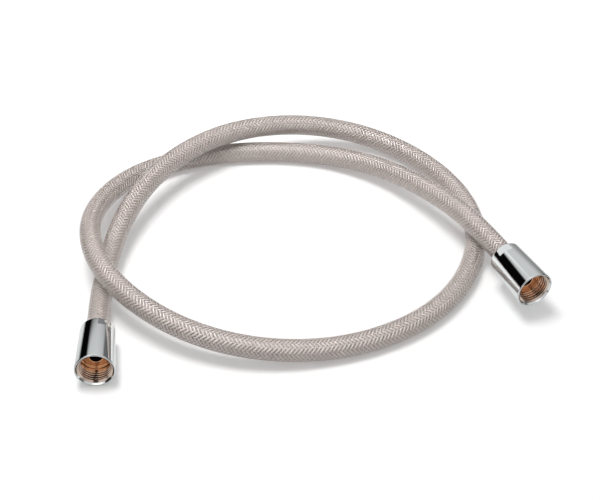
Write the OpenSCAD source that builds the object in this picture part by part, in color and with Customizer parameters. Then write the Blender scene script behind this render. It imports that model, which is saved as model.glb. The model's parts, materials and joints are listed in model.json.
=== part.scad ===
// Flexible braided hose for a hand-held bath sprayer, with a conical swivel nut at each end.
// The hose lies in two crossing loops on a flat surface. Lengths are in millimetres.
// Z = 0 is the surface, +X runs to the right and +Y to the back of the loops.

/* [Hose] */
// Outer diameter of the clear jacket, across its corners
hose_d = 14; // [13:0.5:15]
// Wall of the clear jacket
jacket_wall = 0.9; // [0.6:0.05:1.1]
// Thickness of the braided sleeve
braid_wall = 0.5; // [0.3:0.05:0.8]
// Wall of the inner tube
liner_wall = 0.9; // [0.7:0.05:1.2]
// Clearance between one layer of the hose and the next
layer_gap = 0.05; // [0.02:0.01:0.1]
// Height left between two strands where the hose crosses itself
lap_gap = 0.8; // [0.5:0.1:2]

/* [Swivel nut] */
// Length of the nut along its axis
nut_len = 36; // [32:0.5:42]
// Outer diameter of the cone at the mouth
mouth_d = 24.4; // [23.6:0.1:26]
// Outer diameter of the cone at its rear end
waist_d = 21.5; // [20.5:0.1:23]
// Rounding of the lip round the mouth
lip_round = 0.6; // [0.3:0.1:0.8]
// Rounding of the rear shoulder
shoulder_round = 1.9; // [1:0.1:2.5]
// Distance across the two wrench flats at the rear
flat_across = 19.9; // [18.6:0.1:20.5]
// Length of the wrench flats
flat_len = 6.4; // [4:0.1:8]

/* [Thread bore] */
// Bore at the crests of the internal pipe thread
thread_minor_d = 18.63; // [18.4:0.01:18.9]
// Width of the flat land between the lip's rounding and the lead-in chamfer
land_w = 0.28; // [0.2:0.02:1]
// Depth of the wide lead-in chamfer
lead_len = 1.1; // [0.6:0.1:1.5]
// Depth of the last thread below the mouth
thread_end = 9.1; // [8:0.1:9.2]
// Depth of the thread relief in front of the shoulder, on the radius
relief_depth = 0.28; // [0.15:0.01:0.6]
// Depth of the seat below the mouth with the nut pulled fully forward
seat_depth = 11.8; // [11.5:0.1:13]

/* [Hose tail] */
// Thickness of the flange whose face is the seat
flange_t = 2; // [1.5:0.1:3]
// Bore of the tail, the water way
water_d = 7.2; // [6.5:0.1:8.2]
// Length of the stem inside the hose
stem_len = 16; // [12:0.5:17]
// Bite of the barbs into the inner tube, on the radius
barb_bite = 0.2; // [0.1:0.05:0.3]
// Number of barbs
barb_count = 4; // [2:1:5]
// Diameter of the ring groove on the seat face
groove_d = 12.8; // [11:0.1:14]
// Width and depth of the ring groove
groove_w = 0.35; // [0.2:0.05:0.6]

/* [Ferrule and slip ring] */
// Wall of the crimped ferrule
ferrule_wall = 0.55; // [0.4:0.05:0.7]
// Thickness of the ferrule's inward lip
ferrule_lip = 1; // [0.6:0.1:1.5]
// Length of the ferrule
ferrule_len = 18; // [15:0.5:20]
// Width of each of the two crimp grooves
crimp_w = 2; // [1:0.1:3]
// Depth of the crimp grooves
crimp_depth = 0.2; // [0.1:0.05:0.3]
// Thickness of the plastic slip ring
slip_t = 1.5; // [1:0.1:2]

/* [Clearances] */
// Clearance of stem in inner tube and of jacket in ferrule
seat_gap = 0.05; // [0.02:0.01:0.1]
// Running clearance of slip ring and nut on the ferrule, on the radius
run_gap = 0.08; // [0.05:0.01:0.1]
// Clearance of flange and slip ring passing the thread crests, on the radius
pass_gap = 0.115; // [0.05:0.005:0.2]
// End play on each side of the slip ring
end_play = 0.1; // [0.05:0.05:0.2]

/* [Layout] */
// How far the nut of end B is slid back along the hose
slid_back_b = 2.5; // [0:0.1:2.5]
// Height of the lip of end B's nut over the surface
lift_b = 7.8; // [7:0.1:9]
// Turn of end A's wrench flats about the nut's axis
flat_turn_a = 31; // [0:1:180]
// Turn of end B's wrench flats about the nut's axis
flat_turn_b = 158; // [0:1:180]

/* [Hidden] */
$fn = 96;

// Nut: the cone's slope, and the lengths along it
cone_slope = (mouth_d - waist_d) / 2 / nut_len;
cone_k = sqrt(1 + cone_slope * cone_slope);
shoulder_at = seat_depth + flange_t + slip_t + 2 * end_play;
ferrule_d = hose_d + 2 * (seat_gap + ferrule_wall);
rear_bore_d = ferrule_d + 2 * run_gap;
pass_d = thread_minor_d - 2 * pass_gap;
lead_d = mouth_d - 2 * (lip_round + land_w);
relief_d = thread_minor_d + 2 * relief_depth;

// Hose: radii of the layers, across the flats of their twelve sides
sides = 12;
flat_f = cos(180 / sides);
jacket_in = hose_d / 2 - jacket_wall;
braid_out = jacket_in - layer_gap;
braid_in = braid_out - braid_wall;
liner_out = braid_in - layer_gap;
bore_r = liner_out - liner_wall;
stem_r = bore_r - seat_gap;

// Ends: mouth centre of each nut, the way it points and how far it tips up
tilt_a = atan(cone_slope);
azimuth_a = -86;
azimuth_b = -66;
tilt_b = 0;
mouth_a = [-131.1, -50.3, mouth_d / 2 * cos(tilt_a)];
mouth_b = [132.8, 11.6, mouth_d / 2 + lift_b];
seat_a = seat_depth;
seat_b = seat_depth - slid_back_b;
hose_end = flange_t + ferrule_lip;
straight = 18;

function dir(az, tilt) = [cos(az) * cos(tilt), sin(az) * cos(tilt), sin(tilt)];
function on_a(t) = mouth_a - t * dir(azimuth_a, tilt_a);
function on_b(t) = mouth_b - t * dir(azimuth_b, tilt_b);

// Route of the hose from end A to end B. Each point holds X, Y and a height in laps,
// where 0 lies on the surface and 1 lies on top of another strand.
lap = hose_d + lap_gap;
route = [[-136, 32, 0.05], [-132, 73, 0.55], [-119, 115, 0.9], [-97, 151, 1], [-67, 175, 1.1],
    [-32, 191, 0.9], [5, 197, 0.55], [41, 190, 0.2], [73, 168, 0], [96, 134, 0], [107, 95, 0],
    [102, 55, 0], [84, 18, 0], [55, -9, 0], [18, -26, 0], [-24, -33, 0.2], [-66, -28, 0.55],
    [-103, -8, 0.8], [-133, 21, 1.15], [-148, 58, 1.2], [-148, 98, 0.75], [-133, 135, 0.35],
    [-108, 161, 0], [-73, 173, 0], [-32, 177, 0], [9, 171, 0.05], [45, 151, 0.35], [72, 120, 0.75],
    [95, 85, 1.15]];
control = concat(
    [for (i = [0 : 2]) on_a(seat_a + hose_end + i * straight)],
    [for (p = route) [p[0], p[1], hose_d / 2 + p[2] * lap]],
    [for (i = [2 : -1 : 0]) on_b(seat_b + hose_end + i * straight)]);
last = len(control) - 1;

// Cubic B-spline through the control points, with one point added past each end
function ctrl(i) = i < 0 ? 2 * control[0] - control[1]
    : i > last ? 2 * control[last] - control[last - 1] : control[i];
function spline(u) = let (i = min(floor(u), last - 1), t = u - i)
    (pow(1 - t, 3) * ctrl(i - 1) + (3 * t * t * t - 6 * t * t + 4) * ctrl(i)
    + (-3 * t * t * t + 3 * t * t + 3 * t + 1) * ctrl(i + 1) + t * t * t * ctrl(i + 2)) / 6;
function slope(u) = let (i = min(floor(u), last - 1), t = u - i)
    (-pow(1 - t, 2) * ctrl(i - 1) + (3 * t * t - 4 * t) * ctrl(i)
    + (-3 * t * t + 2 * t + 1) * ctrl(i + 1) + t * t * ctrl(i + 2)) / 2;

// Rings: one per control point along the straight ends, evenly spread through the loops
loop_steps = 57;
stations = concat([0, 1], [for (i = [0 : loop_steps]) 2 + i * (last - 4) / loop_steps], [last - 1, last]);
function unit(v) = v / norm(v);
function ring(u, r) = let (p = spline(u), d = unit(slope(u)), s = unit(cross([0, 0, 1], d)), n = cross(d, s))
    [for (k = [0 : sides - 1]) let (a = 360 * k / sides) p + r * (cos(a) * s + sin(a) * n)];

// One layer of the hose, with its outer and inner corner radius
module hose_layer(r_out, r_in) {
    rings = len(stations);
    m = sides;
    outer = [for (u = stations) each ring(u, r_out)];
    inner = [for (u = stations) each ring(u, r_in)];
    n = rings * m;
    end = (rings - 1) * m;
    walls = [for (j = [0 : rings - 2], k = [0 : m - 1]) let (a = j * m + k, b = j * m + (k + 1) % m)
        each [[a, a + m, b + m], [a, b + m, b], [n + a, n + b + m, n + a + m], [n + a, n + b, n + b + m]]];
    caps = [for (k = [0 : m - 1]) let (a = k, b = (k + 1) % m)
        each [[a, b, n + b], [a, n + b, n + a], [end + a, n + end + b, end + b], [end + a, n + end + a, n + end + b]]];
    polyhedron(points = concat(outer, inner), faces = concat(walls, caps), convexity = 12);
}

// Least distance between strands that lie more than four steps apart along the route
samples = [for (u = [0 : 0.1 : last]) spline(u)];
near = min([for (i = [0 : len(samples) - 41], j = [i + 40 : len(samples) - 1]) norm(samples[i] - samples[j])]);
long = [for (i = [1 : len(samples) - 1]) norm(samples[i] - samples[i - 1])] * [for (i = [1 : len(samples) - 1]) 1];
echo(str("Hose length ", long, " mm, least gap of the hose to itself ", near - hose_d, " mm"));

// Places a fitting on end A or B, t behind the mouth, with its +Z running back along the hose
module on_end_a(t) {
    translate(mouth_a) rotate([0, 90 + tilt_a, azimuth_a + 180]) translate([0, 0, t]) children();
}
module on_end_b(t) {
    translate(mouth_b) rotate([0, 90 + tilt_b, azimuth_b + 180]) translate([0, 0, t]) children();
}

// Outline of the nut, radius along X and depth from the mouth along Y
module nut_outline() {
    shoulder_y = nut_len - shoulder_round;
    lip_x = mouth_d / 2 - cone_slope * lip_round - lip_round * cone_k;
    shoulder_x = mouth_d / 2 - cone_slope * shoulder_y - shoulder_round * cone_k;
    polygon([
        [0, 0],
        [lip_x, 0],
        [lip_x + lip_round / cone_k, lip_round + lip_round * cone_slope / cone_k],
        [shoulder_x + shoulder_round / cone_k, shoulder_y + shoulder_round * cone_slope / cone_k],
        [shoulder_x, nut_len],
        [0, nut_len]]);
    translate([lip_x, lip_round]) circle(r = lip_round, $fn = 32);
    translate([shoulder_x, shoulder_y]) circle(r = shoulder_round, $fn = 32);
}

// Bore of the nut: lead-in, thread crests, relief, shoulder and rear bore
module nut_bore() {
    polygon([
        [-1, -1],
        [lead_d / 2, -1],
        [lead_d / 2, 0],
        [thread_minor_d / 2, lead_len],
        [thread_minor_d / 2, thread_end],
        [relief_d / 2, thread_end],
        [relief_d / 2, shoulder_at],
        [rear_bore_d / 2, shoulder_at],
        [rear_bore_d / 2, nut_len + 1],
        [-1, nut_len + 1]]);
}

// Conical swivel nut with two wrench flats at the rear
module cone_nut(turn) {
    difference() {
        rotate_extrude() difference() {
            nut_outline();
            nut_bore();
        }
        for (side = [0, 180])
            rotate([0, 0, turn + side])
                translate([flat_across / 2, -mouth_d / 2, nut_len - flat_len])
                    cube([mouth_d, mouth_d, flat_len + 1]);
    }
}

// Outline of the hose tail: flange, stem and barbs, with the seat face at Y = 0
module tail_outline() {
    edge = 0.3;
    barb_pitch = (stem_len - 3) / barb_count;
    polygon(concat(
        [[water_d / 2, 0], [pass_d / 2 - edge, 0], [pass_d / 2, edge], [pass_d / 2, flange_t], [stem_r, flange_t]],
        [for (i = [0 : barb_count - 1]) let (y = flange_t + 3 + i * barb_pitch)
            each [[stem_r, y], [bore_r + barb_bite, y], [stem_r, y + barb_pitch * 0.8]]],
        [[stem_r, flange_t + stem_len], [water_d / 2, flange_t + stem_len]]));
}

// Hose tail: the seat that the nut draws against its mating thread, and the barbed stem inside the hose
module hose_tail() {
    rotate_extrude() difference() {
        tail_outline();
        translate([groove_d / 2 - groove_w / 2, -groove_w]) square([groove_w, 2 * groove_w]);
    }
}

// Crimped ferrule: its lip lies between the flange and the end of the hose
module ferrule() {
    inner = hose_d / 2 + seat_gap;
    outer = ferrule_d / 2;
    rotate_extrude() difference() {
        translate([stem_r + seat_gap, 0]) square([outer - stem_r - seat_gap, ferrule_len]);
        translate([0, ferrule_lip]) square([inner, ferrule_len]);
        for (i = [1, 2])
            translate([outer - crimp_depth, ferrule_lip + i * (ferrule_len - ferrule_lip) / 3 - crimp_w / 2])
                square([1, crimp_w]);
    }
}

// Plastic slip ring between the nut's shoulder and the flange
module slip_ring() {
    rotate_extrude()
        translate([rear_bore_d / 2, 0]) square([(pass_d - rear_bore_d) / 2, slip_t]);
}

module inner_tube() {
    color([0.86, 0.86, 0.84]) hose_layer(liner_out / flat_f, bore_r / flat_f);
}

module braid_sleeve() {
    color([0.66, 0.62, 0.6]) hose_layer(braid_out / flat_f, braid_in / flat_f);
}

module clear_jacket() {
    color([0.8, 0.8, 0.8, 0.4]) hose_layer(hose_d / 2, jacket_in / flat_f);
}

module hose_tail_a() {
    color([0.8, 0.5, 0.28]) on_end_a(seat_a) hose_tail();
}

module hose_tail_b() {
    color([0.8, 0.5, 0.28]) on_end_b(seat_b) hose_tail();
}

module ferrule_a() {
    color([0.75, 0.75, 0.76]) on_end_a(seat_a + flange_t) ferrule();
}

module ferrule_b() {
    color([0.75, 0.75, 0.76]) on_end_b(seat_b + flange_t) ferrule();
}

module slip_ring_a() {
    color([0.93, 0.93, 0.9]) on_end_a(shoulder_at - end_play - slip_t) slip_ring();
}

module slip_ring_b() {
    color([0.93, 0.93, 0.9]) on_end_b(shoulder_at - end_play - slip_t) slip_ring();
}

module cone_nut_a() {
    color([0.82, 0.84, 0.84]) on_end_a(0) cone_nut(flat_turn_a);
}

module cone_nut_b() {
    color([0.82, 0.84, 0.84]) on_end_b(0) cone_nut(flat_turn_b);
}

inner_tube();
braid_sleeve();
clear_jacket();
hose_tail_a();
hose_tail_b();
ferrule_a();
ferrule_b();
slip_ring_a();
slip_ring_b();
cone_nut_a();
cone_nut_b();
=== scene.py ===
import json
import math
from functools import partial

import bmesh
import bpy
import numpy as np
from mathutils import Matrix, Vector


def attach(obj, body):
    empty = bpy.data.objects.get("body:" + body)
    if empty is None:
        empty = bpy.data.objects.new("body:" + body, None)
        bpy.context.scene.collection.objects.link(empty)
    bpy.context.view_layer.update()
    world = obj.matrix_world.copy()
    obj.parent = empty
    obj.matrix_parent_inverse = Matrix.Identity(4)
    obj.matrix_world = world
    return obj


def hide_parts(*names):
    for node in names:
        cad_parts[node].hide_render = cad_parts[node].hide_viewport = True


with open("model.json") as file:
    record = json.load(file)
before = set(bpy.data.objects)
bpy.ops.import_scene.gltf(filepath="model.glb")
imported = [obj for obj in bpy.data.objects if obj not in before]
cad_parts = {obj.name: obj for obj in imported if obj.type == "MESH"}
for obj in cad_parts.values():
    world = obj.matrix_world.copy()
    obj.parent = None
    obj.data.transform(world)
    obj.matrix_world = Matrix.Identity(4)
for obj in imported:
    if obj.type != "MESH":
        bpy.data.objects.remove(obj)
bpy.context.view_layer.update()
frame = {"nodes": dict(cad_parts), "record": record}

bl_info = {
    "name": "Bath Sprayer Hose",
    "version": (1, 0, 0),
    "blender": (4, 5, 0),
    "location": "View3D > Sidebar > Bath Hose",
    "description": "Braided hose in a clear jacket, with a conical swivel nut at each end",
    "category": "Object",
}

MM = 0.001
TAU = 2 * math.pi
WHITE = (1, 1, 1, 1)
SHARP = math.radians(20)  # smooth faces meet in a sharp edge past this angle

# Kinds of node that are used often, and the setting that makes a ramp soft
MATH, VECTOR = "ShaderNodeMath", "ShaderNodeVectorMath"
MIX, RANGE = "ShaderNodeMix", "ShaderNodeMapRange"
SOFT = {"interpolation_type": "SMOOTHSTEP"}

# Lengths along a fitting, from the nut's mouth back along the hose
LEAD_DEPTH = 1.1 * MM  # the wide lead-in ends
RUN_IN = 1.9 * MM  # the thread is full
MOUNT_DEPTH = 5.1 * MM  # the middle of the thread, where the record puts the mount
THREAD_END = 9.1 * MM
SHOULDER = 15.5 * MM
SEATS = {"a": 11.8 * MM, "b": 9.3 * MM}  # nut b is slid back along the hose
FLANGE = 2 * MM
FERRULE_LIP = 1 * MM
STRAIGHT = 18 * MM  # spacing of the route's three points on each fitting's axis

# Radii inside a nut
LEAD_END = 10.6 * MM
RELIEF = 9.32 * MM
REAR_BORE = 7.68 * MM

FLAT_TURNS = {"a": 31, "b": 158}  # degrees that each nut's wrench flats are turned
GROOVE_SHARE = 0.7  # of the pitch. The rest is crest
THREAD_ROWS = 150  # fine enough that the helix shows no steps

# Route of the hose from end A to end B: X and Y in millimetres, and a height in laps,
# where 0 lies on the surface and 1 lies on top of another run of the hose
LAP = 14.8  # millimetres
ROUTE = (
    (-136, 32, 0.05), (-132, 73, 0.55), (-119, 115, 0.9), (-97, 151, 1), (-67, 175, 1.1),
    (-32, 191, 0.9), (5, 197, 0.55), (41, 190, 0.2), (73, 168, 0), (96, 134, 0),
    (107, 95, 0), (102, 55, 0), (84, 18, 0), (55, -9, 0), (18, -26, 0),
    (-24, -33, 0.2), (-66, -28, 0.55), (-103, -8, 0.8), (-133, 21, 1.15), (-148, 58, 1.2),
    (-148, 98, 0.75), (-133, 135, 0.35), (-108, 161, 0), (-73, 173, 0), (-32, 177, 0),
    (9, 171, 0.05), (45, 151, 0.35), (72, 120, 0.75), (95, 85, 1.15),
)
HOSE_RADIUS = 7 * MM
SPAN_SAMPLES = 60  # from each point of the route to the next

PIECE_STRANDS = 6  # keeps each piece of the braid under 200,000 triangles
STRAND_STEPS, QUICK_STEPS = 3500, 600
THREAD_SEED = 7

# Cells to the metre in each finish's noise
BUFFING = 220  # waves 4.5 mm apart
MOTTLE = 400  # patches 2.5 mm wide
DRAW_LINES = 3000  # lines 0.3 mm apart, coarser than real ones, which are too fine to show
HAZE = 150  # patches 7 mm wide


def linear(code):
    """A colour written as sRGB hex, as linear RGBA."""
    parts = [int(code[i:i + 2], 16) / 255 for i in (0, 2, 4)]
    return (*(p / 12.92 if p <= 0.04045 else ((p + 0.055) / 1.055) ** 2.4 for p in parts), 1.0)


def add(tree, kind, *values, inputs=None, **settings):
    """Adds a node. Values fill its inputs in their order, and inputs fills them by name.

    A value that is a socket is linked. One that is a node gives its first output in use.
    """
    made = tree.nodes.new(kind)
    for name, value in settings.items():
        setattr(made, name, value)
    for name, value in {**dict(enumerate(values)), **(inputs or {})}.items():
        if isinstance(value, bpy.types.Node):
            value = next(socket for socket in value.outputs if socket.enabled)
        if isinstance(value, bpy.types.NodeSocket):
            tree.links.new(value, made.inputs[name])
        else:
            made.inputs[name].default_value = value
    return made


# ---------------------------------------------------------------- places

def fitting_matrix(letter):
    """A fitting's own frame: its origin is the mouth, and +Z runs back along the hose."""
    mount = next(m for m in frame["record"]["mounts"] if m["name"] == "thread_" + letter)
    outward = Vector(mount["axis"]).normalized()
    mouth = Vector(mount["pos_m"]) + outward * MOUNT_DEPTH
    back = -outward
    b, c = math.acos(back.z), math.atan2(back.y, back.x)
    x = Vector((math.cos(b) * math.cos(c), math.cos(b) * math.sin(c), -math.sin(b)))
    y = Vector((-math.sin(c), math.cos(c), 0))
    return Matrix.Translation(mouth) @ Matrix((x, y, back)).transposed().to_4x4()


FITTINGS = {letter: fitting_matrix(letter) for letter in SEATS}


def centreline(step):
    """The middle of the hose from end A to end B: a uniform cubic B-spline, evenly spaced."""
    def on_axis(letter, i):
        start = SEATS[letter] + FLANGE + FERRULE_LIP
        return FITTINGS[letter] @ Vector((0, 0, start + i * STRAIGHT))

    points = [on_axis("a", i) for i in (0, 1, 2)]
    points += [(x * MM, y * MM, HOSE_RADIUS + h * LAP * MM) for x, y, h in ROUTE]
    points += [on_axis("b", i) for i in (2, 1, 0)]
    c = np.array([tuple(p) for p in points])
    c = np.vstack([2 * c[0] - c[1], c, 2 * c[-1] - c[-2]])
    t = np.linspace(0, 1, SPAN_SAMPLES, endpoint=False)[:, None]
    spans = [((1 - t) ** 3 * c[i] + (3 * t ** 3 - 6 * t ** 2 + 4) * c[i + 1]
              + (-3 * t ** 3 + 3 * t ** 2 + 3 * t + 1) * c[i + 2] + t ** 3 * c[i + 3]) / 6
             for i in range(len(c) - 3)]
    line = np.vstack(spans + [c[-2]])
    along = np.concatenate([[0], np.cumsum(np.linalg.norm(np.diff(line, axis=0), axis=1))])
    at = np.linspace(0, along[-1], round(along[-1] / step) + 1)
    return np.stack([np.interp(at, along, line[:, k]) for k in range(3)], axis=1)


def sweep_frame(line):
    """Across and up at each point of a line that is never vertical."""
    ahead = np.gradient(line, axis=0)
    ahead /= np.linalg.norm(ahead, axis=1)[:, None]
    across = np.cross([0, 0, 1], ahead)
    across /= np.linalg.norm(across, axis=1)[:, None]
    return across, np.cross(ahead, across)


# ---------------------------------------------------------------- meshes

def shown(name, mesh):
    """A new object that shows a mesh."""
    obj = bpy.data.objects.new(name, mesh)
    bpy.context.scene.collection.objects.link(obj)
    return obj


def piece(name, verts, faces, materials, face_materials=None):
    """A mesh object at the origin, with smooth faces and its normals pointing outwards."""
    mesh = bpy.data.meshes.new(name)
    mesh.from_pydata([tuple(v) for v in verts], [], faces)
    for m in materials:
        mesh.materials.append(m)
    if face_materials is not None:
        mesh.polygons.foreach_set("material_index", face_materials)
    work = bmesh.new()
    work.from_mesh(mesh)
    bmesh.ops.recalc_face_normals(work, faces=work.faces)
    work.to_mesh(mesh)
    work.free()
    mesh.shade_smooth()
    mesh.set_sharp_from_angle(angle=SHARP)
    return shown(name, mesh)


def grid_faces(rows, columns):
    """Quads of a grid whose rows and columns both close round."""
    quads = []
    for i in range(rows):
        j = (i + 1) % rows
        for k in range(columns):
            n = (k + 1) % columns
            quads.append((i * columns + k, i * columns + n, j * columns + n, j * columns + k))
    return quads


def tube(name, line, outer, inner, sides, material):
    """A pipe with closed end rings, swept along a line."""
    across, up = sweep_frame(line)
    angles = np.linspace(0, TAU, sides, endpoint=False)
    rim = (np.cos(angles)[None, :, None] * across[:, None]
           + np.sin(angles)[None, :, None] * up[:, None])
    rings = [line[:, None] + outer * rim, (line[:, None] + inner * rim)[::-1]]
    verts = np.concatenate(rings).reshape(-1, 3)
    return piece(name, verts, grid_faces(2 * len(line), sides), [material])


def turned(name, letter, profile, materials, columns=128, bands=None, wave=None):
    """A turned piece on a fitting's axis. Its profile is a closed loop of (radius, depth).

    bands gives the material of each step of the profile, and wave(depth, angles, radius)
    the radii round each ring.
    """
    angles = np.linspace(0, TAU, columns, endpoint=False)
    rings = []
    for radius, depth in profile:
        radii = np.full(columns, radius) if wave is None else wave(depth, angles, radius)
        depths = np.full(columns, depth)
        rings.append(np.stack([radii * np.cos(angles), radii * np.sin(angles), depths], axis=1))
    face_materials = None if bands is None else np.repeat(np.array(bands, np.int32), columns)
    turn = np.array(FITTINGS[letter])
    verts = np.concatenate(rings) @ turn[:3, :3].T + turn[:3, 3]
    return piece(name, verts, grid_faces(len(profile), columns), materials, face_materials)


def arc(centre, radius, start, end, steps):
    """Points of an arc in a profile, in degrees from 0 outwards to 90 back along the hose."""
    angles = [math.radians(start + (end - start) * i / steps) for i in range(steps + 1)]
    return [(centre[0] + radius * math.cos(a), centre[1] + radius * math.sin(a)) for a in angles]


# ---------------------------------------------------------------- finishes

def material(name):
    """A new material, and the call that adds nodes to it."""
    made = bpy.data.materials.new(name)
    made.use_nodes = True
    made.node_tree.nodes.clear()
    return made, partial(add, made.node_tree)


def chrome(colour):
    """Bright chrome plate on polished brass: a mirror, faintly wavy from buffing."""
    made, put = material("Polished chrome plate")
    place = put("ShaderNodeTexCoord").outputs["Object"]
    wave = put("ShaderNodeTexNoise", inputs={"Vector": place, "Scale": BUFFING, "Detail": 2})
    rough = put(RANGE, inputs={"Value": wave, "To Min": 0.02, "To Max": 0.05})
    bump = put("ShaderNodeBump", inputs={
        "Height": wave, "Strength": 0.02, "Distance": 0.4 * MM})
    metal = put("ShaderNodeBsdfPrincipled", inputs={
        "Base Color": colour, "Metallic": 1, "Roughness": rough, "Normal": bump})
    put("ShaderNodeOutputMaterial", inputs={"Surface": metal})
    return made


def turned_brass(name, colour, dark):
    """Turned brass under a thin strike of plating: bright, warm and a little mottled."""
    made, put = material(name)
    place = put("ShaderNodeTexCoord").outputs["Object"]
    mottle = put("ShaderNodeTexNoise", inputs={"Vector": place, "Scale": MOTTLE, "Detail": 3})
    tone = put(MIX, data_type="RGBA", inputs={"Factor": mottle, "A": dark, "B": colour})
    rough = put(RANGE, inputs={"Value": mottle, "To Min": 0.05, "To Max": 0.13})
    metal = put("ShaderNodeBsdfPrincipled", inputs={
        "Base Color": tone, "Metallic": 1, "Roughness": rough})
    put("ShaderNodeOutputMaterial", inputs={"Surface": metal})
    return made


def drawn_steel(colour):
    """Stainless steel drawn into a cup: grey, with a soft sheen and lines along the draw."""
    made, put = material("Stainless steel, drawn and crimped")
    place = put("ShaderNodeTexCoord").outputs["Object"]
    # The ferrules lie nearly along Y, so the grain is drawn out that way
    drawn = put("ShaderNodeMapping", inputs={"Vector": place, "Scale": (1, 0.08, 1)})
    grain = put("ShaderNodeTexNoise", inputs={"Vector": drawn, "Scale": DRAW_LINES, "Detail": 2})
    rough = put(RANGE, inputs={"Value": grain, "To Min": 0.28, "To Max": 0.4})
    metal = put("ShaderNodeBsdfPrincipled", inputs={
        "Base Color": colour, "Metallic": 1, "Roughness": rough})
    put("ShaderNodeOutputMaterial", inputs={"Surface": metal})
    return made


def clear_pvc(colour):
    """Clear plasticised PVC, extruded over the braid: glossy, and lamps shine through it."""
    made, put = material("Clear plasticised PVC")
    clear = put("ShaderNodeBsdfPrincipled", inputs={
        "Base Color": colour, "Roughness": 0.06, "IOR": 1.5, "Transmission Weight": 1})
    straight = put("ShaderNodeBsdfTransparent", inputs={"Color": colour})
    shadow = put("ShaderNodeLightPath").outputs["Is Shadow Ray"]
    both = put("ShaderNodeMixShader", shadow, clear, straight)
    put("ShaderNodeOutputMaterial", inputs={"Surface": both})
    return made


def metallised_thread(light, dark, gap):
    """Polyester thread with a vapour-coated aluminium film: silver with a faint warm cast.

    It is painted bright along the crown of each strand, with painted shade along its edges and
    where it dips under the others.
    """
    made, put = material("Metallised polyester thread")
    tone, crown, top = (
        put("ShaderNodeAttribute", attribute_name=name).outputs["Fac"]
        for name in ("thread_tone", "thread_crown", "thread_top"))
    strand = put(MIX, data_type="RGBA", inputs={"Factor": tone, "A": dark, "B": light})
    # Painted shade: the gap colour is painted on each strand's edges and where it dips under the
    # others
    crown = put(RANGE, inputs={"Value": crown, "From Min": 0, "From Max": 0.5})
    top = put(RANGE, inputs={"Value": top, "From Min": 0.2, "From Max": 0.8})
    painted_light_mask = put(MATH, crown, top, operation="MULTIPLY")
    shade = put(MIX, data_type="RGBA", inputs={"Factor": painted_light_mask, "A": gap, "B": strand})
    metal = put("ShaderNodeBsdfPrincipled", inputs={
        "Base Color": shade, "Metallic": 0.7, "Roughness": 0.46})
    put("ShaderNodeOutputMaterial", inputs={"Surface": metal})
    return made


def soft_plastic(name, colour, roughness):
    """A plain moulded or extruded plastic with a faint haze of tone."""
    made, put = material(name)
    place = put("ShaderNodeTexCoord").outputs["Object"]
    mottle = put("ShaderNodeTexNoise", inputs={"Vector": place, "Scale": HAZE, "Detail": 2})
    shade = put(RANGE, inputs={"Value": mottle, "To Min": 0.94, "To Max": 1.0})
    tone = put(MIX, data_type="RGBA", blend_type="MULTIPLY", inputs={
        "Factor": 1, "A": colour, "B": shade})
    body = put("ShaderNodeBsdfPrincipled", inputs={"Base Color": tone, "Roughness": roughness})
    put("ShaderNodeOutputMaterial", inputs={"Surface": body})
    return made


def floor_paint(lift):
    """Matt white studio paint, which glows by lift where it is seen, for a white background."""
    made, put = material("Matt white studio floor")
    path = put("ShaderNodeLightPath").outputs
    through, in_mirror = path["Is Transmission Ray"], path["Is Glossy Ray"]
    seen = put(MATH, path["Is Camera Ray"], in_mirror, operation="MAXIMUM")
    seen = put(MATH, seen, through, operation="MAXIMUM")
    # In a mirror the floor's colour and glow are painted darker away from a painted pool of light
    # round its middle
    painted_pool, near, far, dim = (-0.02, 0.12, 0), 0.1, 0.36, 0.25
    place = put("ShaderNodeTexCoord").outputs["Object"]
    away = put(VECTOR, place, painted_pool, operation="DISTANCE")
    fade = put(RANGE, away, near, far, 1, dim, **SOFT)
    fade = put(MIX, data_type="FLOAT", inputs={"Factor": in_mirror, "A": 1.0, "B": fade})
    white = put(MIX, data_type="RGBA", inputs={
        "Factor": seen, "A": linear("E7E7E7"), "B": WHITE})
    tone = put(MIX, data_type="RGBA", blend_type="MULTIPLY", inputs={
        "Factor": 1, "A": white, "B": fade})
    paint = put("ShaderNodeBsdfDiffuse", inputs={"Color": tone})
    # Painted light: where the braid mirrors the floor, the floor glows paler, to lighten the
    # braid's lower side
    braid_painted_glow = 0.3
    mirrored = put(MATH, path["Glossy Depth"], 1, operation="MINIMUM")
    braid = put(MATH, through, mirrored, operation="MULTIPLY")
    strength = put(MATH, seen, lift, operation="MULTIPLY")
    strength = put(MATH, strength, fade, operation="MULTIPLY")
    strength = put(MATH, braid, braid_painted_glow, strength, operation="MULTIPLY_ADD")
    glow = put("ShaderNodeEmission", inputs={"Color": WHITE, "Strength": strength})
    both = put("ShaderNodeAddShader", paint, glow)
    put("ShaderNodeOutputMaterial", inputs={"Surface": both})
    return made


# ---------------------------------------------------------------- braid

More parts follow.
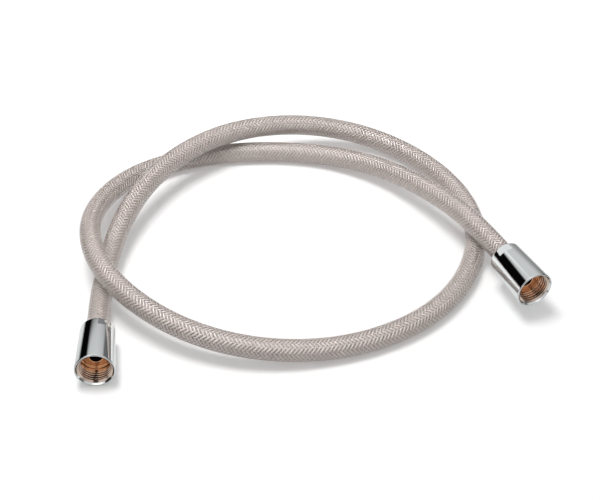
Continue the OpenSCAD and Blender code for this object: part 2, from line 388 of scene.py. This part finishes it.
def strand_tree():
    """Strands that wind round a line, two over and two under those that wind the other way."""
    tree = bpy.data.node_groups.new("Braided strands", "GeometryNodeTree")
    for name, kind, value in (
            ("Line", "Geometry", None), ("Strands each way", "Int", 12),
            ("First strand", "Int", 0), ("Strands here", "Int", PIECE_STRANDS),
            ("Lay length", "Float", 31 * MM), ("Middle radius", "Float", 5.8 * MM),
            ("Rise and fall", "Float", 0.06 * MM), ("Strand width", "Float", 1.62 * MM),
            ("Strand thickness", "Float", 0.18 * MM), ("Steps", "Int", STRAND_STEPS),
            ("Seed", "Int", THREAD_SEED), ("Finish", "Material", None)):
        socket = tree.interface.new_socket(name, in_out="INPUT", socket_type="NodeSocket" + kind)
        if value is not None:
            socket.default_value = value
    tree.interface.new_socket("Braid", in_out="OUTPUT", socket_type="NodeSocketGeometry")
    put = partial(add, tree)
    given = put("NodeGroupInput").outputs
    strands = given["Strands each way"]

    # The line, with the two directions that point away from it and the way along it
    curve = put("GeometryNodeMeshToCurve", inputs={"Mesh": given["Line"]})
    even = put("GeometryNodeResampleCurve", mode="COUNT", inputs={
        "Curve": curve, "Count": given["Steps"]})
    tangent = put("GeometryNodeInputTangent")
    across = put(VECTOR, (0, 0, 1), tangent, operation="CROSS_PRODUCT")
    across = put(VECTOR, across, operation="NORMALIZE")
    up = put(VECTOR, tangent, across, operation="CROSS_PRODUCT")
    length = put("GeometryNodeSplineParameter").outputs["Length"]
    kept = put("GeometryNodeCaptureAttribute")
    for kind, name in (("VECTOR", "Across"), ("VECTOR", "Up"), ("FLOAT", "Length")):
        kept.capture_items.new(kind, name)
    tree.links.new(even.outputs["Curve"], kept.inputs["Geometry"])
    for name, value in (("Across", across.outputs[0]), ("Up", up.outputs[0]), ("Length", length)):
        tree.links.new(value, kept.inputs[name])

    # A copy of the line for each strand, and the angle that it has wound to
    copies = put("GeometryNodeDuplicateElements", domain="SPLINE", inputs={
        "Geometry": kept.outputs["Geometry"], "Amount": given["Strands here"]})
    number = put(MATH, copies.outputs["Duplicate Index"], given["First strand"], operation="ADD")
    start = put(MATH, number, strands, operation="DIVIDE")
    wound = put(MATH, kept.outputs["Length"], given["Lay length"], operation="DIVIDE")
    turns = put(MATH, start, wound, operation="ADD")
    angle = put(MATH, turns, TAU, operation="MULTIPLY")

    # It lies on top for two strands of the other way and under the next two
    way = put(MATH, given["Lay length"], operation="SIGN")
    phase = put(MATH, angle, strands, operation="MULTIPLY")
    phase = put(MATH, phase, 0.5, -math.pi / 4, operation="MULTIPLY_ADD")
    weave = put(MATH, phase, operation="COSINE")
    weave = put(MATH, weave, 1.5, operation="MULTIPLY")
    weave = put("ShaderNodeClamp", weave, -1, 1)
    weave = put(MATH, weave, way, operation="MULTIPLY")
    radius = put(MATH, weave, given["Rise and fall"], given["Middle radius"],
                 operation="MULTIPLY_ADD")
    # How far the strand lies on top, kept as thread_top: a mask for the painted shade where it
    # dips under
    top = put(MATH, weave, 0.5, 0.5, operation="MULTIPLY_ADD")

    aside = put(VECTOR, kept.outputs["Across"], operation="SCALE", inputs={
        "Scale": put(MATH, angle, operation="COSINE")})
    above = put(VECTOR, kept.outputs["Up"], operation="SCALE", inputs={
        "Scale": put(MATH, angle, operation="SINE")})
    outward = put(VECTOR, aside, above, operation="ADD")
    reach = put(VECTOR, outward, operation="SCALE", inputs={"Scale": radius})
    placed = put("GeometryNodeSetPosition", inputs={
        "Geometry": copies.outputs["Geometry"], "Offset": reach})
    strand = put("GeometryNodeSetCurveNormal", mode="FREE", inputs={
        "Curve": placed, "Normal": outward})
    chance = put("FunctionNodeRandomValue", data_type="FLOAT", inputs={
        "ID": number, "Seed": given["Seed"]})
    for name, value in (("thread_tone", chance), ("thread_top", top)):
        strand = put("GeometryNodeStoreNamedAttribute", data_type="FLOAT", domain="POINT", inputs={
            "Geometry": strand, "Name": name, "Value": value})

    # A flat section with four corners. Its crown is the two of its middle line
    ring = put("GeometryNodeCurvePrimitiveCircle", mode="RADIUS", inputs={
        "Resolution": 4, "Radius": 0.5})
    size = put("ShaderNodeCombineXYZ", inputs={
        "X": given["Strand thickness"], "Y": given["Strand width"], "Z": 1.0})
    # thread_crown marks the crown against the edges: a mask for the painted shade along the
    # strands' edges
    odd = put(MATH, put("GeometryNodeInputIndex"), 2, operation="MODULO")
    crown = put(MATH, 1, odd, operation="SUBTRACT")
    crowned = put("GeometryNodeStoreNamedAttribute", data_type="FLOAT", domain="POINT", inputs={
        "Geometry": ring, "Name": "thread_crown", "Value": crown})
    section = put("GeometryNodeTransform", inputs={"Geometry": crowned, "Scale": size})
    solid = put("GeometryNodeCurveToMesh", inputs={
        "Curve": strand, "Profile Curve": section, "Fill Caps": True})
    smooth = put("GeometryNodeSetShadeSmooth", inputs={"Geometry": solid})
    real = put("GeometryNodeRealizeInstances", inputs={"Geometry": smooth})
    done = put("GeometryNodeSetMaterial", inputs={"Geometry": real, "Material": given["Finish"]})
    put("NodeGroupOutput", inputs={"Braid": done})
    return tree


def grown(name, host_mesh, tree, values):
    """The plain mesh that a geometry tree makes from a host mesh."""
    host = shown(name + "_host", host_mesh)
    modifier = host.modifiers.new("tree", "NODES")
    modifier.node_group = tree
    for item in tree.interface.items_tree:
        if item.name in values:
            modifier[item.identifier] = values[item.name]
    graph = bpy.context.evaluated_depsgraph_get()
    mesh = bpy.data.meshes.new_from_object(host.evaluated_get(graph))
    mesh.name = name
    bpy.data.objects.remove(host)
    return shown(name, mesh)


# ---------------------------------------------------------------- settings

def length(name, text, value, low, high):
    """A length that a user can change, given in millimetres."""
    return bpy.props.FloatProperty(
        name=name, description=text, default=value * MM, min=low * MM, max=high * MM,
        subtype="DISTANCE", unit="LENGTH", precision=5)


def colour(name, text, code):
    """A colour that a user can change, given as sRGB hex."""
    return bpy.props.FloatVectorProperty(
        name=name, description=text, default=linear(code), size=4, min=0, max=1, subtype="COLOR")


class HoseSizes(bpy.types.PropertyGroup):
    outer: length("Outer diameter", "Across the clear jacket", 13.98, 13, 15)
    jacket_inner: length("Jacket bore", "Across the inside of the clear jacket", 11.04, 10, 13)
    braid_middle: length("Braid diameter", "Across the middle of the braid", 11.6, 10, 13)
    liner_outer: length("Liner diameter", "Across the inner tube", 11.0, 10, 12)
    liner_inner: length("Water way", "Bore of the inner tube", 9.2, 8, 10)
    strands: bpy.props.IntProperty(
        name="Strands each way", description="How many strands are wound each way",
        default=12, min=8, max=32, step=2)
    lay: length("Lay length", "Length in which a strand goes once round", 31, 15, 60)
    strand_width: length("Strand width", "Across one flat strand", 1.62, 0.4, 2)
    strand_thickness: length("Strand thickness", "Through one flat strand", 0.18, 0.1, 0.4)
    rise: length("Rise and fall", "How far a strand rises and dips as it crosses others",
                 0.06, 0, 0.3)


class NutSizes(bpy.types.PropertyGroup):
    length: length("Length", "From the mouth to the rear end", 36, 32, 42)
    mouth: length("Mouth diameter", "Across the cone at the mouth", 24.4, 23.6, 26)
    waist: length("Rear diameter", "Across the cone at the rear end", 21.5, 20.5, 23)
    lip_round: length("Lip rounding", "Radius round the mouth", 0.6, 0.3, 0.8)
    shoulder_round: length("Shoulder rounding", "Radius round the rear end", 1.9, 1, 2.5)
    across_flats: length("Across flats", "Between the two wrench flats", 19.9, 18.6, 20.5)
    flat_length: length("Flat length", "Of a wrench flat, from the rear end", 6.4, 4, 8)
    crest: length("Thread crest diameter", "Across the internal thread's crests",
                  18.63, 18.4, 18.9)
    root: length("Thread root diameter", "Across the internal thread's roots", 20.5, 19, 21)
    lead: length("Lead-in diameter", "Across the wide chamfer at the mouth", 22.64, 21.4, 23)
    pitch: length("Thread pitch", "14 turns to the inch", 1.814, 1, 2)


class FinishColours(bpy.types.PropertyGroup):
    chrome: colour("Chrome", "Chrome plate on the nuts", "DDE0E0")
    brass: colour("Brass", "Turned metal of the tails", "EFC09A")
    brass_dark: colour("Brass, dark", "Darker patches of the tails", "DCA67A")
    flash: colour("Plating strike", "Thin plating inside the nuts", "E3D3C7")
    flash_dark: colour("Plating strike, dark", "Where the plating inside the nuts is thinnest",
                       "CDB5A4")
    jacket: colour("Jacket", "Clear PVC", "FCFCFC")
    thread: colour("Thread", "Lighter threads of the braid", "ECE2DD")
    thread_dark: colour("Thread, dark", "Darker threads of the braid", "E3D8D3")
    # Colour of the painted shade on the strands' edges and where they dip
    thread_painted_shade: colour("Thread, shaded", "Edges of the strands, and where they dip", "DED3CE")
    liner: colour("Liner", "Inner tube", "A09C96")
    steel: colour("Ferrule", "Stainless steel", "C6C6C4")
    plastic: colour("Slip ring", "Acetal", "EEEEE6")


class Studio(bpy.types.PropertyGroup):
    camera_lens: bpy.props.FloatProperty(
        name="Lens", description="Focal length on a 36 mm wide sensor",
        default=80.79, min=20, max=200, subtype="DISTANCE_CAMERA")
    camera_place: bpy.props.FloatVectorProperty(
        name="Camera", description="Where the camera stands",
        default=(-0.0115, -0.6080, 0.5684), subtype="TRANSLATION", unit="LENGTH")
    camera_target: bpy.props.FloatVectorProperty(
        name="Target", description="What the camera looks at",
        default=(-0.0115, 0.0743, 0.0), subtype="TRANSLATION", unit="LENGTH")
    key_power: bpy.props.FloatProperty(
        name="Key lamp", description="Power of the softbox overhead",
        default=9.8, min=0, max=200, unit="POWER")
    floor_lift: bpy.props.FloatProperty(
        name="Floor lift", default=0.16, min=0, max=1,
        description="Brightness added where the floor is seen, for a white background")
    sky: bpy.props.FloatProperty(
        name="Room light", description="Light from all round on plain surfaces",
        default=0.45, min=0, max=2)


# ---------------------------------------------------------------- stage

class BATHHOSE_OT_stage(bpy.types.Operator):
    """Adds the floor, the lamp, the room and the camera"""
    bl_idname = "bath_hose.stage"
    bl_label = "Stage"

    def execute(self, context):
        studio = context.scene.bath_studio
        self.floor(studio.floor_lift)
        self.softbox(studio.key_power)
        self.room(context.scene, studio.sky)
        self.camera(context.scene, studio)
        context.scene.view_settings.view_transform = "Standard"
        return {"FINISHED"}

    def floor(self, lift):
        """A wide floor, just under the hose."""
        half, drop = 4, 0.2 * MM
        corners = [(-half, -half, 0), (half, -half, 0), (half, half, 0), (-half, half, 0)]
        mesh = bpy.data.meshes.new("studio_floor")
        mesh.from_pydata(corners, [], [(0, 1, 2, 3)])
        mesh.materials.append(floor_paint(lift))
        floor = shown("studio_floor", mesh)
        floor.location.z = -drop

    def softbox(self, power):
        """A square softbox, high up behind the hose and to its left."""
        side, place, aim = 0.52, Vector((-0.28, 0.22, 1.3)), Vector((0, 0.07, 0))
        lamp = bpy.data.lights.new("softbox_overhead", "AREA")
        lamp.shape, lamp.size, lamp.size_y, lamp.energy = "RECTANGLE", side, side, power
        box = shown("softbox_overhead", lamp)
        box.location = place
        box.rotation_euler = (aim - place).to_track_quat("-Z", "Y").to_euler()
        box.visible_glossy = False  # the room's overhead patch is its softer mirror image

    def room(self, scene, strength):
        """White where it is seen, plain light on plain surfaces, and a studio in reflections."""
        world = scene.world or bpy.data.worlds.new("room")
        scene.world = world
        world.use_nodes = True
        world.node_tree.nodes.clear()
        put = partial(add, world.node_tree)

        # Directions in degrees. Bearings are 0 at the back, 90 to the right, -90 to the left
        way = put("ShaderNodeTexCoord").outputs["Generated"]
        x, y, z = put("ShaderNodeSeparateXYZ", way).outputs
        height = put(MATH, put(MATH, z, operation="ARCSINE"), operation="DEGREES")
        bearing = put(MATH, put(MATH, x, y, operation="ARCTAN2"), operation="DEGREES")
        around = put(MATH, bearing, operation="ABSOLUTE")

        # The back wall is dark up to 19 degrees, and the left one to 36. To the right there
        # is a pale gap, then a grey wall. The front is open
        left = put(RANGE, bearing, -27, -52, **SOFT)
        right = put(RANGE, bearing, -8, 8, **SOFT)
        far_right = put(RANGE, bearing, 26, 32, **SOFT)
        front = put(RANGE, around, 100, 140, **SOFT)
        foot = put(MATH, left, 17, 19, operation="MULTIPLY_ADD")
        foot = put(MATH, right, -11, foot, operation="MULTIPLY_ADD")
        foot = put(MATH, far_right, 10, foot, operation="MULTIPLY_ADD")
        foot = put(MIX, data_type="FLOAT", inputs={"Factor": front, "A": foot, "B": 0.0})
        blur = put(MATH, left, -6, 15, operation="MULTIPLY_ADD")
        blur = put(MATH, right, 5, blur, operation="MULTIPLY_ADD")
        rise = put(MATH, height, foot, operation="SUBTRACT")
        above_wall = put(RANGE, put(MATH, rise, blur, operation="DIVIDE"), **SOFT)
        wall = put(MATH, right, 0.36, 0.002, operation="MULTIPLY_ADD")
        wall = put(MATH, far_right, -0.2, wall, operation="MULTIPLY_ADD")
        wall = put(MATH, front, 0.3, wall, operation="MULTIPLY_ADD")

        # The ceiling brightens as it rises, and towards the front
        ceiling = put(RANGE, height, 15, 40, 0.48, 0.75)
        ceiling = put(MATH, ceiling, put(RANGE, around, 90, 140, 0, 0.7, **SOFT),
                      operation="MAXIMUM")
        mirror = put(MIX, data_type="FLOAT", inputs={
            "Factor": above_wall, "A": wall, "B": ceiling})

        # A lit panel stands high on the left
        panel_height, panel_bearing = 45.5, -36
        away = put(VECTOR, put("ShaderNodeCombineXYZ", height, bearing),
                   (panel_height, panel_bearing, 0), operation="DISTANCE")
        panel = put(RANGE, away, 10, 2, 0, 0.3, **SOFT)
        mirror = put(MATH, mirror, panel, operation="ADD")

        # A dark upright flag stands behind the camera. The braid is too rough to show it
        flag = put(MATH, put(RANGE, around, 167, 173, **SOFT),
                   put(RANGE, height, 55, 45, **SOFT), operation="MULTIPLY")
        flag = put(MATH, flag, put(RANGE, height, 4, 9, **SOFT), operation="MULTIPLY")
        unflagged = put(MATH, flag, -0.9, 1, operation="MULTIPLY_ADD")
        metal = put(MATH, mirror, unflagged, operation="MULTIPLY")

        # The softbox is a bright patch overhead
        softbox = Vector((-0.2, -0.15, 1)).normalized()
        overhead = put(VECTOR, way, softbox, operation="DOT_PRODUCT")
        overhead = put(RANGE, overhead, 0.8, 0.97, **SOFT)
        metal = put(MATH, overhead, 0.7, metal, operation="MULTIPLY_ADD")

        # What is seen straight, or through the clear jacket, is white. Metal mirrors the room, and
        # the braid mirrors it paler, with a stronger overhead patch: a painted sheen and highlight
        # that only the braid's reflections get
        braid_painted_sheen = put(MATH, mirror, 1.3, 0.14, operation="MULTIPLY_ADD")
        braid_painted_sheen = put(MATH, overhead, 2.8, braid_painted_sheen, operation="MULTIPLY_ADD")
        path = put("ShaderNodeLightPath").outputs
        mirrored = put(MATH, path["Glossy Depth"], 1, operation="MINIMUM")
        braid = put(MATH, path["Is Transmission Ray"], mirrored, operation="MULTIPLY")
        through = put(MATH, path["Is Transmission Ray"], braid, operation="SUBTRACT")
        seen = put(MATH, path["Is Camera Ray"], through, operation="MAXIMUM")
        inside = put(MATH, path["Is Glossy Ray"], path["Is Transmission Ray"],
                     operation="MAXIMUM")
        level = put(MIX, data_type="FLOAT", inputs={"Factor": braid, "A": metal, "B": braid_painted_sheen})
        level = put(MIX, data_type="FLOAT", inputs={"Factor": inside, "A": strength, "B": level})
        level = put(MIX, data_type="FLOAT", inputs={"Factor": seen, "A": level, "B": 1.0})
        back = put("ShaderNodeBackground", inputs={"Color": WHITE, "Strength": level})
        put("ShaderNodeOutputWorld", inputs={"Surface": back})

    def camera(self, scene, studio):
        """The camera, at its place and turned to its target."""
        data = bpy.data.cameras.new("camera")
        data.lens, data.sensor_width, data.sensor_fit = studio.camera_lens, 36, "HORIZONTAL"
        data.clip_start, data.clip_end = 0.01, 50
        eye = shown("camera", data)
        eye.location = studio.camera_place
        gaze = Vector(studio.camera_target) - eye.location
        eye.rotation_euler = gaze.to_track_quat("-Z", "Y").to_euler()
        scene.camera = eye


# ---------------------------------------------------------------- hose

class BATHHOSE_OT_liner(bpy.types.Operator):
    """Adds the inner tube that carries the water"""
    bl_idname = "bath_hose.liner"
    bl_label = "Inner tube"

    def execute(self, context):
        sizes, finish = context.scene.bath_hose, context.scene.bath_finish
        liner = tube(
            "liner_tube", centreline(4 * MM), sizes.liner_outer / 2, sizes.liner_inner / 2,
            sides=24, material=soft_plastic("Extruded inner tube, soft PVC", finish.liner, 0.45))
        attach(liner, "hose")
        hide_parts("inner_tube")
        return {"FINISHED"}


class BATHHOSE_OT_braid(bpy.types.Operator):
    """Adds the braided sleeve, strand by strand"""
    bl_idname = "bath_hose.braid"
    bl_label = "Braid"

    def execute(self, context):
        sizes, finish = context.scene.bath_hose, context.scene.bath_finish
        line = centreline(MM)
        host = bpy.data.meshes.new("hose_middle")
        host.from_pydata([tuple(p) for p in line], [(i, i + 1) for i in range(len(line) - 1)], [])
        tree = strand_tree()
        values = {
            "Strands each way": sizes.strands, "Middle radius": sizes.braid_middle / 2,
            "Rise and fall": sizes.rise, "Strand width": sizes.strand_width,
            "Strand thickness": sizes.strand_thickness, "Seed": THREAD_SEED,
            "Steps": STRAND_STEPS,
            "Finish": metallised_thread(finish.thread, finish.thread_dark, finish.thread_painted_shade)}
        for way, sign in (("right", 1), ("left", -1)):
            for part, first in enumerate(range(0, sizes.strands, PIECE_STRANDS)):
                made = grown(f"braid_{way}_{part + 1}", host, tree, {
                    **values, "Lay length": sign * sizes.lay, "First strand": first,
                    "Strands here": min(PIECE_STRANDS, sizes.strands - first)})
                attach(made, "hose")
                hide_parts("braid_sleeve")
        bpy.data.meshes.remove(host)
        return {"FINISHED"}


class BATHHOSE_OT_jacket(bpy.types.Operator):
    """Adds the clear jacket"""
    bl_idname = "bath_hose.jacket"
    bl_label = "Clear jacket"

    def execute(self, context):
        sizes, finish = context.scene.bath_hose, context.scene.bath_finish
        line = centreline(3 * MM)
        jacket = tube("clear_jacket_tube", line, sizes.outer / 2, sizes.jacket_inner / 2,
                      sides=40, material=clear_pvc(finish.jacket))
        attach(jacket, "hose")
        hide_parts("clear_jacket")
        return {"FINISHED"}


# ---------------------------------------------------------------- fittings

class BATHHOSE_OT_nuts(bpy.types.Operator):
    """Adds the two conical swivel nuts"""
    bl_idname = "bath_hose.nuts"
    bl_label = "Cone nuts"

    def execute(self, context):
        sizes, finish = context.scene.bath_nut, context.scene.bath_finish
        plate = chrome(finish.chrome)
        flash = turned_brass("Turned brass, pale plating strike", finish.flash, finish.flash_dark)
        for letter, turn in FLAT_TURNS.items():
            nut = self.threaded_cone(letter, sizes, [plate, flash])
            for side in (0, 180):
                self.cut_flat(context, nut, letter, turn + side, sizes)
            nut.data.set_sharp_from_angle(angle=SHARP)
            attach(nut, "nut_" + letter)
            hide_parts("cone_nut_" + letter)
        return {"FINISHED"}

    def threaded_cone(self, letter, s, materials):
        """A nut without its flats: a rounded cone, with a rear bore, a relief and a thread."""
        slope = (s.mouth - s.waist) / 2 / s.length
        slant = math.sqrt(1 + slope * slope)
        tilt = math.degrees(math.atan(slope))
        lip_x = s.mouth / 2 - slope * s.lip_round - s.lip_round * slant
        rear_y = s.length - s.shoulder_round
        rear_x = s.mouth / 2 - slope * rear_y - s.shoulder_round * slant
        crest, root, lead = s.crest / 2, s.root / 2, s.lead / 2

        outside = arc((lip_x, s.lip_round), s.lip_round, -90, tilt, steps=8)
        outside += arc((rear_x, rear_y), s.shoulder_round, tilt, 90, steps=10)
        # The rear bore's broken edge, the step into the relief, and the thread's first row
        edge, gap, first = 0.3 * MM, 0.05 * MM, 0.1 * MM
        rear = [(REAR_BORE + edge, s.length), (REAR_BORE, s.length - edge), (REAR_BORE, SHOULDER),
                (RELIEF, SHOULDER), (RELIEF, THREAD_END + gap)]
        depths = [first + (THREAD_END - first) * i / THREAD_ROWS for i in range(THREAD_ROWS + 1)]
        profile = outside + rear + [(crest, t) for t in depths[::-1]] + [(lead, 0)]
        # The inside has only a thin strike of plating, from the rear end to the lead-in
        thin_from = len(outside)
        thin_to = len(outside + rear) + sum(t > LEAD_DEPTH for t in depths)
        bands = [int(thin_from <= i < thin_to) for i in range(len(profile))]

        def groove(depth, angles, radius):
            """Cuts the helix into the rows that lie on the thread's crests."""
            if radius != crest:
                return np.full(len(angles), radius)
            # A pipe thread is round at its crests and roots
            off_root = np.abs(2 * ((depth / s.pitch - angles / TAU) % 1) - 1)
            cut = 0.5 - 0.5 * np.cos(math.pi * np.clip(1 - off_root / GROOVE_SHARE, 0, 1))
            # A plated lead-in as wide as the male thread, then the thread runs in
            chamfer = np.interp(depth, (0, LEAD_DEPTH, RUN_IN), (lead, LEAD_END, crest))
            return np.maximum(chamfer, crest + (root - crest) * cut)

        return turned("nut_" + letter, letter, profile, materials, bands=bands, wave=groove)

    def cut_flat(self, context, nut, letter, turn, s):
        """Cuts one wrench flat with a box that stands off the axis."""
        work = bmesh.new()
        bmesh.ops.create_cube(work, size=2 * s.mouth)
        bmesh.ops.translate(work, verts=work.verts, vec=(
            s.across_flats / 2 + s.mouth, 0, s.length - s.flat_length + s.mouth))
        bmesh.ops.transform(work, verts=work.verts, matrix=(
            FITTINGS[letter] @ Matrix.Rotation(math.radians(turn), 4, "Z")))
        mesh = bpy.data.meshes.new("flat_cutter")
        work.to_mesh(mesh)
        work.free()
        cutter = shown("flat_cutter", mesh)
        cut = nut.modifiers.new("flat", "BOOLEAN")
        cut.operation, cut.solver, cut.object = "DIFFERENCE", "EXACT", cutter
        graph = context.evaluated_depsgraph_get()
        done = bpy.data.meshes.new_from_object(nut.evaluated_get(graph))
        nut.modifiers.remove(cut)
        nut.data = done
        bpy.data.objects.remove(cutter)


class BATHHOSE_OT_tails(bpy.types.Operator):
    """Adds the two hose tails, whose flange faces are the seats"""
    bl_idname = "bath_hose.tails"
    bl_label = "Hose tails"

    def execute(self, context):
        finish = context.scene.bath_finish
        bare = turned_brass("Turned brass, copper strike", finish.brass, finish.brass_dark)
        # Radii, the ring groove's half width, and the size of a broken edge
        bore, flange, stem, barb, ring = 3.6 * MM, 9.2 * MM, 4.55 * MM, 4.8 * MM, 6.4 * MM
        w, e = 0.175 * MM, 0.15 * MM
        # The barbs, and lengths along the stem
        barbs = 4
        first_barb, barb_pitch, barb_length, stem_length = 3 * MM, 3.25 * MM, 2.6 * MM, 16 * MM

        loop = arc((bore + 3 * e, 3 * e), 3 * e, -180, -90, steps=5)
        loop += [(ring - w, 0), (ring - w, 2 * w), (ring + w, 2 * w), (ring + w, 0),
                 (flange - 2 * e, 0), (flange, 2 * e), (flange, FLANGE), (stem, FLANGE)]
        for i in range(barbs):
            y = FLANGE + first_barb + i * barb_pitch
            loop += [(stem, y), (barb, y), (stem, y + barb_length)]
        loop += [(stem, FLANGE + stem_length), (bore, FLANGE + stem_length)]
        for letter, seat in SEATS.items():
            profile = [(r, z + seat) for r, z in loop]
            tail = turned("tail_" + letter, letter, profile, [bare], columns=96)
            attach(tail, "hose")
            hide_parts("hose_tail_" + letter)
        return {"FINISHED"}


class BATHHOSE_OT_ferrules(bpy.types.Operator):
    """Gives the ferrules and the slip rings inside the nuts their finishes"""
    bl_idname = "bath_hose.ferrules"
    bl_label = "Ferrules and slip rings"

    def execute(self, context):
        finish = context.scene.bath_finish
        for kind, made in (("ferrule_", drawn_steel(finish.steel)),
                           ("slip_ring_", soft_plastic("Moulded acetal", finish.plastic, 0.4))):
            for letter in SEATS:
                materials = frame["nodes"][kind + letter].data.materials
                materials.clear()
                materials.append(made)
        return {"FINISHED"}


class BATHHOSE_PT_panel(bpy.types.Panel):
    """Lists the sizes, the colours and the pieces"""
    bl_idname = "BATHHOSE_PT_panel"
    bl_label = "Bath Hose"
    bl_space_type = "VIEW_3D"
    bl_region_type = "UI"
    bl_category = "Bath Hose"

    def draw(self, context):
        for group in SETTINGS:
            box = self.layout.box()
            settings = getattr(context.scene, group)
            for name in settings.__annotations__:
                box.prop(settings, name)
        for operator in OPERATORS:
            self.layout.operator(operator.bl_idname)


SETTINGS = {"bath_hose": HoseSizes, "bath_nut": NutSizes, "bath_finish": FinishColours,
            "bath_studio": Studio}
OPERATORS = (BATHHOSE_OT_stage, BATHHOSE_OT_liner, BATHHOSE_OT_braid, BATHHOSE_OT_nuts,
             BATHHOSE_OT_tails, BATHHOSE_OT_ferrules, BATHHOSE_OT_jacket)
CLASSES = (*SETTINGS.values(), *OPERATORS, BATHHOSE_PT_panel)


def register():
    for c in CLASSES:
        bpy.utils.register_class(c)
    for name, group in SETTINGS.items():
        setattr(bpy.types.Scene, name, bpy.props.PointerProperty(type=group))


def unregister():
    for name in SETTINGS:
        delattr(bpy.types.Scene, name)
    for c in reversed(CLASSES):
        bpy.utils.unregister_class(c)


def main():
    register()
    bpy.ops.bath_hose.stage()
    bpy.ops.bath_hose.liner()
    bpy.ops.bath_hose.braid()
    bpy.ops.bath_hose.nuts()
    bpy.ops.bath_hose.tails()
    bpy.ops.bath_hose.ferrules()
    bpy.ops.bath_hose.jacket()


if __name__ == "__main__":
    main()
